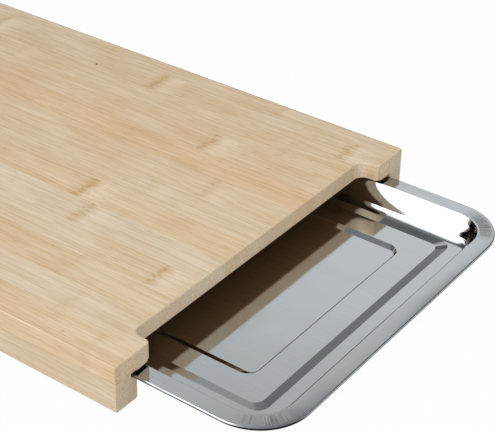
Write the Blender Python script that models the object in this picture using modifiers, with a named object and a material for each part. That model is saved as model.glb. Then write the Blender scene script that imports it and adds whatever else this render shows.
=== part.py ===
"""Bread board with a pull-out crumb tray.

A panel of edge-glued bamboo laths lies on two side rails and a rear rail. The
side rails have a rebate along their upper inner edge. With the panel above it,
each rebate is a groove, and the flat rim of a pressed steel tray slides in the
two grooves. A recess in the panel's front edge leaves room for the fingers
that pull the tray.

Units are metres. +Z is up, +X is to the right, and the tray pulls out towards
-Y. The origin lies at table height, under the middle of the part's outline
with the tray drawn out as it rests here.
"""

import math

import bmesh
import bpy

# Board: outer sizes
BOARD_WIDTH = 0.280
BOARD_LENGTH = 0.380
PANEL_THICKNESS = 0.0117
GLUE_GAP = 0.0003

# Laths of the panel, counted from the left edge
FIRST_LATH_WIDTH = 0.0209
LATH_PITCH = 0.02226
NARROWEST_LATH = 0.006

# Finger recess in the panel's front edge
RECESS_DEPTH = 0.0128
HORN_WIDTH = 0.0288
RECESS_CORNER_RADIUS = 0.006
HORN_TIP_RADIUS = 0.003

# Rails under the panel
RAIL_WIDTH = 0.0173
RAIL_HEIGHT = 0.0185
REBATE_WIDTH = 0.0046
REBATE_DEPTH = 0.0035
REAR_RAIL_WIDTH = 0.0173

# Rounded edges of the wood
PANEL_EDGE_RADIUS = 0.0010
RAIL_FOOT_RADIUS = 0.0018
RAIL_EDGE_RADIUS = 0.0005

# Tray: outline and rest position
TRAY_DRAWN_OUT = 0.089
TRAY_SIDE_CLEARANCE = 0.0016
TRAY_FRONT_SETBACK = 0.001
TRAY_REAR_CLEARANCE = 0.0027
TRAY_CORNER_RADIUS = 0.0322
TRAY_SHEET = 0.0006

# Tray: section, from the rim inwards
RIM_REST_GAP = 0.0003
HEM_HEIGHT = 0.0015
HEM_BEND_RADIUS = 0.0007
RIM_WIDTH = 0.0106
RIM_BEND_RADIUS = 0.0018
WALL_SLOPE = math.radians(68)
FOOT_BEND_RADIUS = 0.0055
LEDGE_DROP = 0.0120
LEDGE_WIDTH = 0.0110
LEDGE_CORNER_RADIUS = 0.008
STEP_WIDTH = 0.0059
STEP_DROP = 0.0013
STEP_CORNER_RADIUS = 0.006
FLOOR_BORDER = 0.0163
POCKET_CORNER_RADIUS = 0.0085
POCKET_WALL_WIDTH = 0.0027
POCKET_DEPTH = 0.0020

# How finely round shapes are divided
OUTLINE_ARC_STEPS = 6
TRAY_CORNER_STEPS = 9
BEND_STEPS = 4
EDGE_SEGMENTS = 2
SHARP_ANGLE = math.radians(35)
OVERRUN = 0.010
WELD_DISTANCE = 0.00001
FLAT_ANGLE = math.radians(1)

# Heights and places that follow from the sizes above
LEFT_X = -BOARD_WIDTH / 2
RIGHT_X = BOARD_WIDTH / 2
FRONT_Y = (TRAY_DRAWN_OUT - BOARD_LENGTH) / 2
REAR_Y = FRONT_Y + BOARD_LENGTH
PANEL_BOTTOM_Z = RAIL_HEIGHT + GLUE_GAP
PANEL_TOP_Z = PANEL_BOTTOM_Z + PANEL_THICKNESS
GROOVE_FLOOR_Z = RAIL_HEIGHT - REBATE_DEPTH
RIM_Z = GROOVE_FLOOR_Z + RIM_REST_GAP + HEM_HEIGHT
GROOVE_END_INSET = RAIL_WIDTH - REBATE_WIDTH
TRAY_WIDTH = BOARD_WIDTH - 2 * (GROOVE_END_INSET + TRAY_SIDE_CLEARANCE)
TRAY_LENGTH = BOARD_LENGTH - REAR_RAIL_WIDTH - TRAY_FRONT_SETBACK - TRAY_REAR_CLEARANCE

WOOD_COLOUR = (0.66, 0.48, 0.29)
WOOD_ROUGHNESS = 0.55
RAIL_COLOUR = (0.62, 0.46, 0.28)
STEEL_COLOUR = (0.62, 0.63, 0.64)
STEEL_ROUGHNESS = 0.12


def clear_scene():
    """Removes every object that the start-up scene holds."""
    for thing in list(bpy.data.objects):
        bpy.data.objects.remove(thing, do_unlink=True)


def new_collection(name):
    """Makes a collection in the scene and returns it."""
    collection = bpy.data.collections.new(name)
    bpy.context.scene.collection.children.link(collection)
    return collection


def plain_material(name, colour, roughness, metallic):
    """Makes a Principled material of one colour."""
    material = bpy.data.materials.new(name)
    material.use_nodes = True
    shader = material.node_tree.nodes["Principled BSDF"]
    shader.inputs["Base Color"].default_value = (*colour, 1.0)
    shader.inputs["Roughness"].default_value = roughness
    shader.inputs["Metallic"].default_value = metallic
    material.diffuse_color = (*colour, 1.0)
    return material


def lath_material(number):
    """Bamboo for one lath: neighbours differ a little in tone."""
    golden_share = 0.618
    tone_spread = 0.14
    tone = 1 - tone_spread / 2 + tone_spread * ((number * golden_share) % 1)
    colour = tuple(channel * tone for channel in WOOD_COLOUR)
    return plain_material(f"bamboo_lath_{number:02d}", colour, WOOD_ROUGHNESS, 0.0)


def add_object(name, mesh, collection, parent=None, location=(0, 0, 0)):
    """Puts a mesh in the scene as a named object."""
    thing = bpy.data.objects.new(name, mesh)
    collection.objects.link(thing)
    thing.location = location
    thing.parent = parent
    return thing


def add_empty(name, collection, location=(0, 0, 0)):
    """Adds an empty that carries a group of pieces."""
    empty = bpy.data.objects.new(name, None)
    collection.objects.link(empty)
    empty.location = location
    return empty


def arc_points(centre, radius, start, end, steps):
    """Points on an arc about a centre, from one angle to another."""
    points = []
    for step in range(steps + 1):
        angle = start + (end - start) * step / steps
        points.append((centre[0] + radius * math.cos(angle), centre[1] + radius * math.sin(angle)))
    return points


def rounded_outline(corners):
    """Outline through corners (x, y, radius), each one rounded with its own radius."""
    points = []
    count = len(corners)
    for index, (x, y, radius) in enumerate(corners):
        if radius <= 0:
            points.append((x, y))
            continue
        before = corners[index - 1]
        after = corners[(index + 1) % count]
        back = math.atan2(before[1] - y, before[0] - x)
        ahead = math.atan2(after[1] - y, after[0] - x)
        turn = (ahead - back + math.pi) % (2 * math.pi) - math.pi
        reach = radius / math.sin(abs(turn) / 2)
        middle = back + turn / 2
        centre = (x + reach * math.cos(middle), y + reach * math.sin(middle))
        side = math.copysign(math.pi / 2, turn)
        start = back - side
        sweep = math.copysign(math.pi - abs(turn), -turn)
        points += arc_points(centre, radius, start, start + sweep, OUTLINE_ARC_STEPS)
    return points


def extruded_mesh(name, outline, thickness):
    """Closed mesh of a flat outline, centred on its plane, with welded caps."""
    curve = bpy.data.curves.new(name, "CURVE")
    curve.dimensions = "2D"
    curve.fill_mode = "BOTH"
    curve.extrude = thickness / 2
    spline = curve.splines.new("POLY")
    spline.points.add(len(outline) - 1)
    for point, (x, y) in zip(spline.points, outline):
        point.co = (x, y, 0, 1)
    spline.use_cyclic_u = True
    holder = bpy.data.objects.new(name, curve)
    bpy.context.scene.collection.objects.link(holder)
    bpy.context.view_layer.update()
    evaluated = holder.evaluated_get(bpy.context.evaluated_depsgraph_get())
    mesh = bpy.data.meshes.new_from_object(evaluated)
    bpy.data.objects.remove(holder, do_unlink=True)
    welded = bmesh.new()
    welded.from_mesh(mesh)
    bmesh.ops.remove_doubles(welded, verts=welded.verts, dist=WELD_DISTANCE)
    bmesh.ops.dissolve_limit(welded, angle_limit=FLAT_ANGLE, verts=welded.verts, edges=welded.edges)
    bmesh.ops.recalc_face_normals(welded, faces=welded.faces)
    welded.to_mesh(mesh)
    welded.free()
    mesh.name = name
    return mesh


def box_mesh(name, size):
    """Box of the given size about its own middle."""
    mesh = bpy.data.meshes.new(name)
    shape = bmesh.new()
    bmesh.ops.create_cube(shape, size=1)
    bmesh.ops.scale(shape, vec=size, verts=shape.verts)
    shape.to_mesh(mesh)
    shape.free()
    return mesh


def round_edges(thing, radius, is_rounded):
    """Rounds the edges whose two ends pass the test, in the piece's own axes."""
    mesh = thing.data
    weights = mesh.attributes.new("bevel_weight_edge", "FLOAT", "EDGE")
    for edge in mesh.edges:
        start, end = (mesh.vertices[index].co for index in edge.vertices)
        weights.data[edge.index].value = float(is_rounded(start, end))
    bevel = thing.modifiers.new("rounded_edges", "BEVEL")
    bevel.width = radius
    bevel.segments = EDGE_SEGMENTS
    bevel.limit_method = "WEIGHT"


def panel_outline():
    """Plan of the panel: a rectangle with the finger recess in its front edge."""
    recess_y = FRONT_Y + RECESS_DEPTH
    left_wall = LEFT_X + HORN_WIDTH
    right_wall = RIGHT_X - HORN_WIDTH
    return rounded_outline(
        [
            (LEFT_X, FRONT_Y, 0),
            (left_wall, FRONT_Y, HORN_TIP_RADIUS),
            (left_wall, recess_y, RECESS_CORNER_RADIUS),
            (right_wall, recess_y, RECESS_CORNER_RADIUS),
            (right_wall, FRONT_Y, HORN_TIP_RADIUS),
            (RIGHT_X, FRONT_Y, 0),
            (RIGHT_X, REAR_Y, 0),
            (LEFT_X, REAR_Y, 0),
        ]
    )


def add_panel_blank(cutters):
    """The glued panel as one body with rounded edges, from which the laths are taken."""
    mesh = extruded_mesh("panel_blank", panel_outline(), PANEL_THICKNESS)
    middle_z = PANEL_BOTTOM_Z + PANEL_THICKNESS / 2
    blank = add_object("panel_blank", mesh, cutters, location=(0, 0, middle_z))
    bay_half_width = BOARD_WIDTH / 2 - RAIL_WIDTH

    def is_rounded(start, end):
        on_top = start.z > 0 and end.z > 0
        over_bay = max(abs(start.x), abs(end.x)) < bay_half_width
        return on_top or (over_bay and start.z * end.z > 0 and start.y < 0 and end.y < 0)

    round_edges(blank, PANEL_EDGE_RADIUS, is_rounded)
    blank.hide_render = True
    blank.display_type = "WIRE"
    return blank


def lath_edges():
    """X of each edge of the laths, from the left side of the board to the right."""
    joint_count = 1 + int((BOARD_WIDTH - FIRST_LATH_WIDTH - NARROWEST_LATH) / LATH_PITCH)
    joints = [LEFT_X + FIRST_LATH_WIDTH + LATH_PITCH * index for index in range(joint_count)]
    return [LEFT_X] + joints + [RIGHT_X]


def add_laths(collection, parent, blank):
    """One strip of the panel between each two glue lines."""
    edges = lath_edges()
    middle_y = (FRONT_Y + REAR_Y) / 2
    middle_z = PANEL_BOTTOM_Z + PANEL_THICKNESS / 2
    for number, (left, right) in enumerate(zip(edges, edges[1:]), start=1):
        low = left - OVERRUN if left == LEFT_X else left + GLUE_GAP / 2
        high = right + OVERRUN if right == RIGHT_X else right - GLUE_GAP / 2
        size = (high - low, BOARD_LENGTH + 2 * OVERRUN, PANEL_THICKNESS + 2 * OVERRUN)
        name = f"panel_lath_{number:02d}"
        place = ((low + high) / 2, middle_y, middle_z)
        lath = add_object(name, box_mesh(name, size), collection, parent, place)
        cut = lath.modifiers.new("cut_from_panel", "BOOLEAN")
        cut.operation = "INTERSECT"
        cut.solver = "EXACT"
        cut.object = blank
        lath.data.materials.append(lath_material(number))


def side_rail_outline():
    """Section of the left rail from its outer face (x = 0) inwards, foot at y = 0."""
    return rounded_outline(
        [
            (0, 0, RAIL_FOOT_RADIUS),
            (RAIL_WIDTH, 0, RAIL_FOOT_RADIUS),
            (RAIL_WIDTH, RAIL_HEIGHT - REBATE_DEPTH, RAIL_EDGE_RADIUS),
            (GROOVE_END_INSET, RAIL_HEIGHT - REBATE_DEPTH, 0),
            (GROOVE_END_INSET, RAIL_HEIGHT, 0),
            (0, RAIL_HEIGHT, 0),
        ]
    )


def add_side_rails(collection, parent):
    """Two mirrored rails under the panel's long edges."""
    for name, edge_x, inwards in (("side_rail_left", LEFT_X, 1), ("side_rail_right", RIGHT_X, -1)):
        outline = [(inwards * x, z) for x, z in side_rail_outline()]
        place = (edge_x, (FRONT_Y + REAR_Y) / 2, 0)
        rail = add_object(name, extruded_mesh(name, outline, BOARD_LENGTH), collection, parent, place)
        rail.rotation_euler = (math.pi / 2, 0, 0)
        glued_height = RAIL_HEIGHT - WELD_DISTANCE
        round_edges(
            rail,
            RAIL_EDGE_RADIUS,
            lambda start, end: start.z * end.z > 0 and min(start.y, end.y) < glued_height,
        )
        rail.data.materials.append(plain_material(name, RAIL_COLOUR, WOOD_ROUGHNESS, 0.0))


def add_rear_rail(collection, parent):
    """The rail between the side rails that closes the bay and stops the tray."""
    length = BOARD_WIDTH - 2 * (RAIL_WIDTH + GLUE_GAP)
    mesh = box_mesh("rear_rail", (length, REAR_RAIL_WIDTH, RAIL_HEIGHT))
    place = (0, REAR_Y - REAR_RAIL_WIDTH / 2, RAIL_HEIGHT / 2)
    rail = add_object("rear_rail", mesh, collection, parent, place)
    round_edges(rail, RAIL_EDGE_RADIUS, lambda start, end: min(start.z, end.z) < 0)
    rail.data.materials.append(plain_material("rear_rail", RAIL_COLOUR, WOOD_ROUGHNESS, 0.0))


def bend(start, turn_from, turn_to, radius):
    """Section points round a bend that leaves start in direction turn_from.

    Directions are angles below the horizontal, looking inwards across the
    tray. The sheet turns down where turn_to is larger and up where it is less.
    """
    side = math.copysign(1, turn_to - turn_from)
    centre = (
        start[0] - side * radius * math.sin(turn_from),
        start[1] - side * radius * math.cos(turn_from),
    )
    points = []
    for step in range(BEND_STEPS + 1):
        turn = turn_from + (turn_to - turn_from) * step / BEND_STEPS
        inset = centre[0] + side * radius * math.sin(turn)
        height = centre[1] + side * radius * math.cos(turn)
        points.append((inset, height))
    return points


def bend_reach(angle, radius):
    """How far a bend of this angle starts before its corner point."""
    return radius * math.tan(angle / 2)


def tray_section():
    """Section of the tray's upper face: (inset, height, corner radius) from hem to pocket.

    Insets run inwards from the rim's outer edge and heights are measured from
    the rim's top, so they are negative.
    """
    rim_bend = bend_reach(WALL_SLOPE, RIM_BEND_RADIUS)
    foot_bend = bend_reach(WALL_SLOPE, FOOT_BEND_RADIUS)
    foot = RIM_WIDTH + LEDGE_DROP / math.tan(WALL_SLOPE)
    foot_start = (
        foot - foot_bend * math.cos(WALL_SLOPE),
        -LEDGE_DROP + foot_bend * math.sin(WALL_SLOPE),
    )
    sides = [(0, -HEM_HEIGHT)]
    sides += bend((0, -HEM_BEND_RADIUS), -math.pi / 2, 0, HEM_BEND_RADIUS)
    sides += bend((RIM_WIDTH - rim_bend, 0), 0, WALL_SLOPE, RIM_BEND_RADIUS)
    sides += bend(foot_start, WALL_SLOPE, 0, FOOT_BEND_RADIUS)
    rows = []
    for inset, height in sides:
        rows.append((inset, height, max(TRAY_CORNER_RADIUS - inset, LEDGE_CORNER_RADIUS)))
    ledge_end = foot + LEDGE_WIDTH
    step_end = ledge_end + STEP_WIDTH
    floor_height = -LEDGE_DROP - STEP_DROP
    pocket_edge = step_end + FLOOR_BORDER
    rows.append((ledge_end, -LEDGE_DROP, LEDGE_CORNER_RADIUS))
    rows.append((step_end, floor_height, STEP_CORNER_RADIUS))
    rows.append((pocket_edge, floor_height, POCKET_CORNER_RADIUS))
    pocket_radius = POCKET_CORNER_RADIUS - POCKET_WALL_WIDTH
    rows.append((pocket_edge + POCKET_WALL_WIDTH, floor_height - POCKET_DEPTH, pocket_radius))
    return rows


def rounded_rectangle(half_width, front, rear, radius):
    """Points round a rectangle with round corners, the same number for any size."""
    corners = (
        (half_width - radius, rear - radius, 0),
        (-half_width + radius, rear - radius, 1),
        (-half_width + radius, front + radius, 2),
        (half_width - radius, front + radius, 3),
    )
    points = []
    for x, y, quarter in corners:
        start = quarter * math.pi / 2
        points += arc_points((x, y), radius, start, start + math.pi / 2, TRAY_CORNER_STEPS)
    return points


def tray_mesh(name):
    """Upper face of the tray: a loft of round-cornered outlines, closed at the pocket's floor."""
    shape = bmesh.new()
    rings = []
    for inset, height, radius in tray_section():
        outline = rounded_rectangle(TRAY_WIDTH / 2 - inset, inset, TRAY_LENGTH - inset, radius)
        rings.append([shape.verts.new((x, y, height)) for x, y in outline])
    for outer, inner in zip(rings, rings[1:]):
        count = len(outer)
        for index in range(count):
            following = (index + 1) % count
            shape.faces.new((outer[index], outer[following], inner[following], inner[index]))
    shape.faces.new(rings[-1])
    mesh = bpy.data.meshes.new(name)
    shape.to_mesh(mesh)
    shape.free()
    mesh.shade_smooth()
    mesh.set_sharp_from_angle(angle=SHARP_ANGLE)
    return mesh


def add_tray(collection, parent):
    """The pressed tray, whose origin is the middle of its front edge, at rim height."""
    tray = add_object("crumb_tray", tray_mesh("crumb_tray"), collection, parent)
    sheet = tray.modifiers.new("sheet_thickness", "SOLIDIFY")
    sheet.thickness = TRAY_SHEET
    sheet.offset = -1
    sheet.use_even_offset = True
    tray.data.materials.append(plain_material("stainless_steel", STEEL_COLOUR, STEEL_ROUGHNESS, 1.0))
    return tray


def build():
    """Builds the whole part."""
    clear_scene()
    parts = new_collection("bread_board")
    cutters = new_collection("cutters")
    board = add_empty("board_frame", parts)
    slide = add_empty("tray_slide", parts, (0, FRONT_Y - TRAY_DRAWN_OUT, RIM_Z))
    blank = add_panel_blank(cutters)
    add_laths(parts, board, blank)
    add_side_rails(parts, board)
    add_rear_rail(parts, board)
    add_tray(parts, slide)
    bpy.context.view_layer.update()


build()
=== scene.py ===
# %% [markdown]
# # A bamboo bread board with a pull-out steel tray
#
# The real thing is a slab of bamboo laths glued edge to edge, on three low
# rails. Two grooves between the slab and the side rails carry the flat rim of
# a pressed steel tray, which catches crumbs and pulls out at the front.
#
# The solids of the construction are a fixed frame: they say where each piece
# is and how it moves. This script dresses that frame. Every piece is built
# again as a fine surface with numpy, in the same place, and gets a finish made
# of shader nodes.

# %% Load the frame
import math

import bpy
import numpy as np
from mathutils import Matrix, Vector


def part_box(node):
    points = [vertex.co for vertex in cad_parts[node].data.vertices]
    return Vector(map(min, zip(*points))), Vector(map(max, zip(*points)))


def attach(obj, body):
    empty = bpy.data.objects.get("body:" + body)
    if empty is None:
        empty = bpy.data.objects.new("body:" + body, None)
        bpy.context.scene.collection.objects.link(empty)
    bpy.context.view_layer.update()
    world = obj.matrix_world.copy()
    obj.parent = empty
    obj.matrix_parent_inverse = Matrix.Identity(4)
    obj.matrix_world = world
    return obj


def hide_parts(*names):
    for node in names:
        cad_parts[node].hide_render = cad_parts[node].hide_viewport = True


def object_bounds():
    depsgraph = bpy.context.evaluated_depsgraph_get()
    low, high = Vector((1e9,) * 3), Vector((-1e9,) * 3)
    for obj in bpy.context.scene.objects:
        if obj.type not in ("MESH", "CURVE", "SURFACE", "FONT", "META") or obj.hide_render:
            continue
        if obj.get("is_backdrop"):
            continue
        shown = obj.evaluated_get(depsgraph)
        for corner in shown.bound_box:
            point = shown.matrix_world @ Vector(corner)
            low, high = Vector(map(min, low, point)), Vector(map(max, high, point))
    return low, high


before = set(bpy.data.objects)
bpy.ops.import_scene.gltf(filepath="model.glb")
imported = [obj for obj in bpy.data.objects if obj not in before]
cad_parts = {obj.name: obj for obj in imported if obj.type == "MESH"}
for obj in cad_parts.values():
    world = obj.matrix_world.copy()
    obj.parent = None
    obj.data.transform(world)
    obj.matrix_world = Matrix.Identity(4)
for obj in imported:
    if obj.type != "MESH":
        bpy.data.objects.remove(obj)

cad_low, cad_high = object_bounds()
MM_PER_METRE = 1000.0
print("frame:", [round(value * MM_PER_METRE, 1) for value in cad_high - cad_low], "mm")

# %% [markdown]
# ## Sizes read from the frame
#
# Lengths that the frame already holds are read from it, so nothing has to be
# fitted afterwards. The rest, such as the radius of a sanded edge, are named
# in metres where they are needed.

# %% Read the board's sizes
LATH_COUNT = 13
lath_boxes = [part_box(f"panel_lath_{number:02d}") for number in range(1, LATH_COUNT + 1)]
left_x = lath_boxes[0][0].x
right_x = lath_boxes[-1][1].x
front_y = lath_boxes[0][0].y
rear_y = lath_boxes[0][1].y
panel_bottom_z = lath_boxes[0][0].z
panel_top_z = lath_boxes[0][1].z
recess_y = lath_boxes[LATH_COUNT // 2][0].y
board_width = right_x - left_x
joints = np.array([(before[1].x + after[0].x) / 2 for before, after in zip(lath_boxes, lath_boxes[1:])])
lath_pitch = joints[1] - joints[0]
print("board:", round(board_width * MM_PER_METRE, 1), "mm wide")
print("laths:", round(lath_pitch * MM_PER_METRE, 2), "mm apart")

# %% [markdown]
# ## The camera
#
# The photograph's lens and place were worked out from the board's own
# straight edges, which run to three vanishing points. The result is a long
# lens from above the front left corner. The camera's place is given in board
# widths from the middle of the board's front edge, and its direction as turns
# about the vertical (yaw), downwards (pitch) and about its own axis (roll).

# %% Make the camera
PHOTO_WIDTH_PX = 495
FOCAL_LENGTH_PX = 1428.65
SENSOR_WIDTH_MM = 36
CLIP_START = 0.01
CAMERA_PLACE_SHARES = (-1.9949, -1.3711, 1.7482)
CAMERA_YAW = math.radians(-54.135)
CAMERA_PITCH = math.radians(32.944)
CAMERA_ROLL = math.radians(1.141)


def camera_matrix():
    """Turns by the roll, the tilt up from straight down and the yaw, then moves to its place."""
    matrix = Matrix.Translation(Vector(CAMERA_PLACE_SHARES) * board_width + Vector((0, front_y, 0)))
    for angle, axis in ((CAMERA_YAW, "Z"), (math.pi / 2 - CAMERA_PITCH, "X"), (CAMERA_ROLL, "Z")):
        matrix = matrix @ Matrix.Rotation(angle, 4, axis)
    return matrix


def add_object(name, data):
    """Puts an object in the scene, at the origin."""
    made = bpy.data.objects.new(name, data)
    bpy.context.scene.collection.objects.link(made)
    return made


camera = add_object("camera", bpy.data.cameras.new("camera"))
camera.data.sensor_width = SENSOR_WIDTH_MM
camera.data.lens = FOCAL_LENGTH_PX * SENSOR_WIDTH_MM / PHOTO_WIDTH_PX
camera.data.clip_start = CLIP_START
camera.matrix_world = camera_matrix()
bpy.context.scene.camera = camera
print("lens:", round(camera.data.lens, 1), "mm")

# %% [markdown]
# ## A small kit for shader nodes
#
# Materials here are long chains of nodes. This little class makes a node, feeds
# its inputs with numbers or other nodes' outputs, and hands back its output,
# so that a pattern reads like a formula.

# %% Define the node kit


class NodeKit:
    """Makes nodes in one tree. Inputs may be numbers, colours or sockets."""

    def __init__(self, tree):
        self.tree = tree

    def node(self, kind, inputs=None, **settings):
        """Adds a node, sets its properties and feeds the inputs that are named."""
        made = self.tree.nodes.new("ShaderNode" + kind)
        for name, value in settings.items():
            setattr(made, name, value)
        for name, value in (inputs or {}).items():
            self.feed(made.inputs[name], value)
        return made

    def feed(self, socket, value):
        """Links a socket to a socket, or sets its number or colour."""
        if isinstance(value, bpy.types.NodeSocket):
            self.tree.links.new(value, socket)
        else:
            socket.default_value = value

    def math(self, operation, first, second=0.0, third=0.0):
        """One Math node."""
        return self.node("Math", {0: first, 1: second, 2: third}, operation=operation).outputs[0]

    def times(self, first, second):
        """Multiplies two numbers."""
        return self.math("MULTIPLY", first, second)

    def times_plus(self, first, second, third):
        """Multiplies two numbers and adds a third."""
        return self.math("MULTIPLY_ADD", first, second, third)

    def between(self, value, low, high, low_result=0.0, high_result=1.0):
        """Goes smoothly from one result to the other as the value goes from low to high."""
        inputs = {0: value, 1: low, 2: high, 3: low_result, 4: high_result}
        return self.node("MapRange", inputs, interpolation_type="SMOOTHSTEP").outputs[0]

    def stretch(self, vector, scale, shift=(0.0, 0.0, 0.0)):
        """A Mapping node: scales a vector, then shifts it."""
        return self.node("Mapping", {"Vector": vector, "Scale": scale, "Location": shift}).outputs[0]

    def noise(self, vector, scale=(1.0, 1.0, 1.0), detail=2.0, roughness=0.5, shift=(0.0, 0.0, 0.0)):
        """A noise value from 0 to 1, mostly between 0.3 and 0.7, over a stretched vector."""
        inputs = {"Vector": self.stretch(vector, scale, shift), "Scale": 1.0}
        inputs |= {"Detail": detail, "Roughness": roughness}
        return self.node("TexNoise", inputs).outputs[0]

    def swing(self, pattern):
        """How far a noise value lies from its middle, which is 0.5."""
        return self.math("SUBTRACT", pattern, 0.5)

    def mix(self, share, first, second, blend_type="MIX"):
        """Mixes two colours, which the Mix node takes at its sockets 6 and 7 and gives at 2."""
        inputs = {0: share, 6: first, 7: second}
        return self.node("Mix", inputs, data_type="RGBA", blend_type=blend_type).outputs[2]

    def mix_shaders(self, share, first, second):
        """Mixes two shaders."""
        return self.node("MixShader", {0: share, 1: first, 2: second}).outputs[0]

    def combine(self, x, y=0.0, z=0.0):
        """A vector from its parts."""
        return self.node("CombineXYZ", {0: x, 1: y, 2: z}).outputs[0]

    def window(self, value, stops):
        """Rises from 0 to 1 between the first two of four stops and falls between the last two."""
        rise = self.between(value, stops[0], stops[1])
        return self.times(rise, self.between(value, stops[3], stops[2]))

    def attribute(self, name):
        """A number that the mesh itself carries at each point."""
        made = self.node("Attribute", attribute_type="GEOMETRY", attribute_name=name)
        return made.outputs["Fac"]


def colour(red, green, blue):
    """A colour with full alpha."""
    return (red, green, blue, 1.0)


WHITE = colour(1, 1, 1)

# %% [markdown]
# ## The studio
#
# The photograph is a plain product shot: white all round, soft light from the
# upper left, and hardly a shadow. Wood only needs an even light. Bright steel
# shows what stands round it, so mirrored rays see a studio of their own. Its
# near side, at the left and behind the camera, is white. The far side is a
# panel in bands of grey under a bright ceiling, with a dark gap beside it, and
# the side in front of the board is dark. Real lamps and boards could do the
# same, but smooth bands of grey give cleaner reflections.

# %% Light the world
PLAIN_LIGHT = 0.60
PLAIN_LIGHT_COLOUR = colour(0.985, 1.0, 1.015)
COOL_GREY = (0.97, 1.0, 1.02)
BRIGHTEST = 3.2
FAR_SIDE_AZIMUTH = math.radians(38)

# What the steel mirrors is this much brighter, as steel absorbs some of it.
STEEL_ABSORBS = 1.389

# The light that the steel throws back onto the wood: its level low down and
# high up, and the heights between which it changes.
LOW_BOUNCED_LIGHT = 0.35
HIGH_BOUNCED_LIGHT = 3.2
BOUNCED_LIGHT_HEIGHTS = (0.30, 0.60)

# Each pair is a height, which is the sine of the elevation, and the level of
# grey there. The first two pairs are the horizon and the zenith.
NEAR_SIDE_LEVELS = ((0.0, 1.5), (1.0, 3.2), (0.60, 1.6), (0.88, 3.0))
GAP_LEVELS = ((0.0, 0.04), (1.0, 3.2), (0.42, 0.08), (0.60, 1.4))
FRONT_SIDE_LEVELS = ((0.0, 0.05), (1.0, 0.5), (0.45, 0.10), (0.65, 0.22), (0.90, 0.25))
FAR_SIDE_LEVELS = (
    (0.0, 0.12), (1.0, 2.4), (0.08, 0.14), (0.38, 0.22), (0.46, 0.22), (0.50, 0.50), (0.53, 0.72),
    (0.58, 0.69), (0.64, 0.57), (0.72, 0.14), (0.84, 0.14), (0.885, 0.30), (0.915, 3.0),
)

# Where the gap and the far side begin and are full, by how far a direction is
# turned to the far side, and where the front side does, by y and by x.
GAP_EDGE = (0.12, 0.24)
FAR_SIDE_EDGE = (0.56, 0.70)
FRONT_SIDE_EDGE_Y = (0.325, 0.20)
FRONT_SIDE_EDGE_X = (-0.90, -0.60)

# Patches of another grey on the far side, for what the tray's corners mirror:
# the level, then where each begins, is full, begins to fade and ends, across
# the far side and up it.
FAR_SIDE_PATCHES = (
    (0.36, (-1.3, -1.2, -0.12, -0.02), (0.31, 0.37, 0.45, 0.49)),
    (0.12, (-0.085, -0.06, 1.2, 1.3), (0.45, 0.49, 0.545, 0.575)),
    (0.12, (-0.050, -0.035, 1.2, 1.3), (0.53, 0.55, 0.585, 0.608)),
)

# %% Make the world from them
# A hair over 1, so that the root below stays above 0 straight up.
SAFE_ONE = 1.0001


def grey_colour(level):
    """A slightly cool grey, on the scale in which the brightest level is 1."""
    return colour(*(level / BRIGHTEST * part for part in COOL_GREY))


def world_bands(kit, height, levels):
    """Grey by height, from a table of heights and levels."""
    ramp = kit.node("ValToRGB", {0: height})
    elements = ramp.color_ramp.elements
    for index, (place, level) in enumerate(levels):
        element = elements[index] if index < 2 else elements.new(place)
        element.position = place
        element.color = grey_colour(level)
    ramp.color_ramp.interpolation = "EASE"
    return ramp.outputs[0]


def part_towards(kit, split, azimuth, level_length):
    """The part of a direction towards an azimuth, over the direction's length on the level."""
    part = kit.times(split["X"], math.cos(azimuth))
    part = kit.times_plus(split["Y"], math.sin(azimuth), part)
    return kit.math("DIVIDE", part, level_length)


def mirrored_studio(kit, split):
    """The grey that a mirrored ray sees, by its direction.

    A direction has a length of 1, so its length on the level is the root of
    1 - height squared.
    """
    height = split["Z"]
    height_squared = kit.times(height, height)
    level_length = kit.math("SQRT", kit.times_plus(height_squared, -1.0, SAFE_ONE))
    turned = part_towards(kit, split, FAR_SIDE_AZIMUTH, level_length)
    sideways = part_towards(kit, split, FAR_SIDE_AZIMUTH + math.pi / 2, level_length)
    far_side = world_bands(kit, height, FAR_SIDE_LEVELS)
    for level, side_stops, height_stops in FAR_SIDE_PATCHES:
        patch = kit.times(kit.window(sideways, side_stops), kit.window(height, height_stops))
        far_side = kit.mix(patch, far_side, grey_colour(level))
    near_side = world_bands(kit, height, NEAR_SIDE_LEVELS)
    gap = world_bands(kit, height, GAP_LEVELS)
    front_side = world_bands(kit, height, FRONT_SIDE_LEVELS)
    opposite = kit.mix(kit.between(turned, *GAP_EDGE), near_side, gap)
    opposite = kit.mix(kit.between(turned, *FAR_SIDE_EDGE), opposite, far_side)
    to_front = kit.between(split["Y"], *FRONT_SIDE_EDGE_Y)
    to_front = kit.times(to_front, kit.between(split["X"], *FRONT_SIDE_EDGE_X))
    return kit.mix(to_front, opposite, front_side)


def background(kit, paint, strength):
    """Light from the world in one colour and strength."""
    return kit.node("Background", {"Color": paint, "Strength": strength}).outputs[0]


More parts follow.
